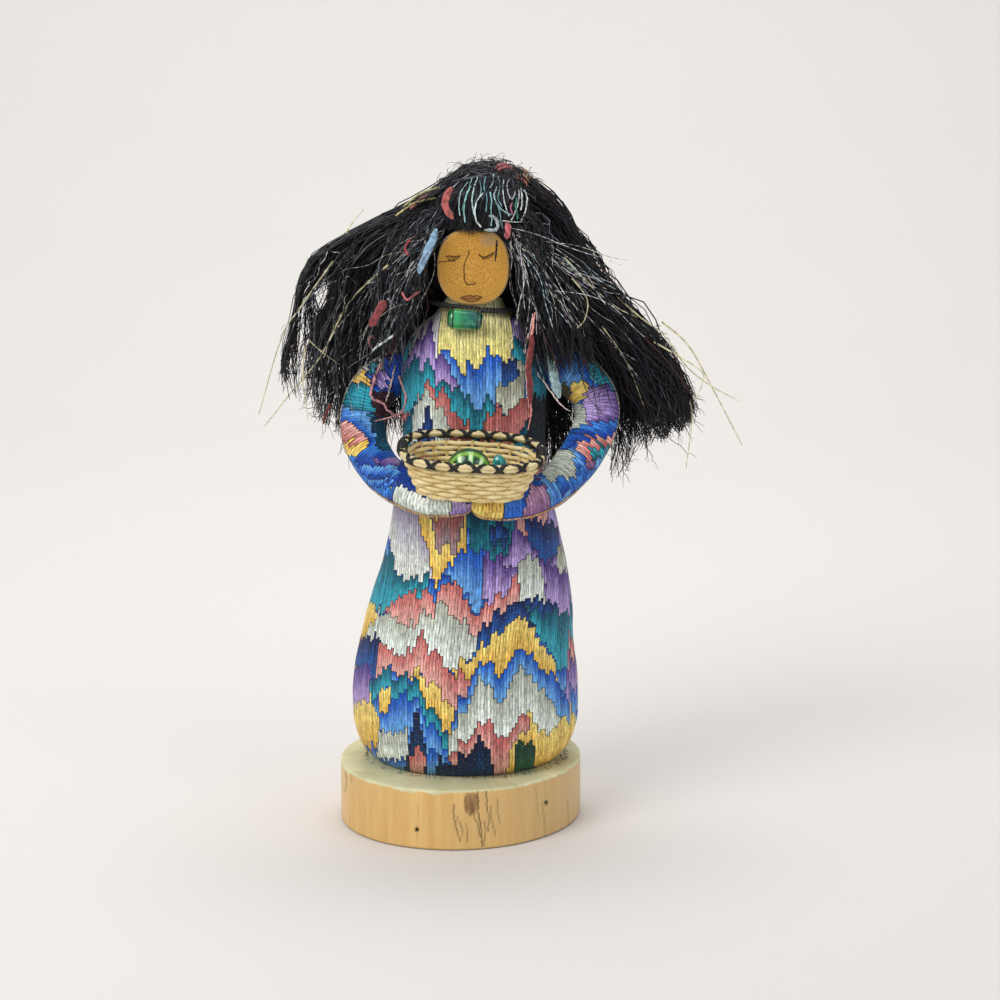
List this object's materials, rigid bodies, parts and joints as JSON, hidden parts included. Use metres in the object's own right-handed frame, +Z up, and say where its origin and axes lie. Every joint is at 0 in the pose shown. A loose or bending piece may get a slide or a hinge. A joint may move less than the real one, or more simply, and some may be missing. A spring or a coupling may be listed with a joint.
{
  "type": "folk art doll",
  "caption": "Stuffed cloth figure with long yarn hair, holding a small wicker basket before it, standing on a round slab of wood.",
  "frame": {"origin": "centre of the wooden slab's underside", "axes": "+Z up through the doll, which faces -Y; +X is to the viewer's right"},
  "size_m": [0.2386, 0.1415, 0.329],
  "materials": {
    "varnished_wood": "worn honey varnish, pale painted top",
    "flame_stitch_cloth": "satin flame-stitch weave in many colours",
    "dark_cloth": "matt",
    "tan_suede": "suede with thin drawn lines",
    "black_cord": "twisted, slightly waxed",
    "green_stone": "polished",
    "wicker": "natural split cane",
    "lashed_border": "black and natural cane lashing",
    "striped_glass": "polished, striped",
    "turquoise": "polished",
    "black_hair": "glossy yarn and thread"
  },
  "bodies": {
    "root": {"wooden_base": "varnished_wood", "body": "flame_stitch_cloth", "arm_left": "flame_stitch_cloth", "arm_right": "flame_stitch_cloth", "head": "dark_cloth", "face": "tan_suede", "neck_cord": "black_cord", "neck_bead": "green_stone", "basket": "wicker", "basket_rim": "lashed_border", "striped_bead": "striped_glass", "turquoise_nugget": "turquoise", "hair": "black_hair"}
  },
  "joints": []
}
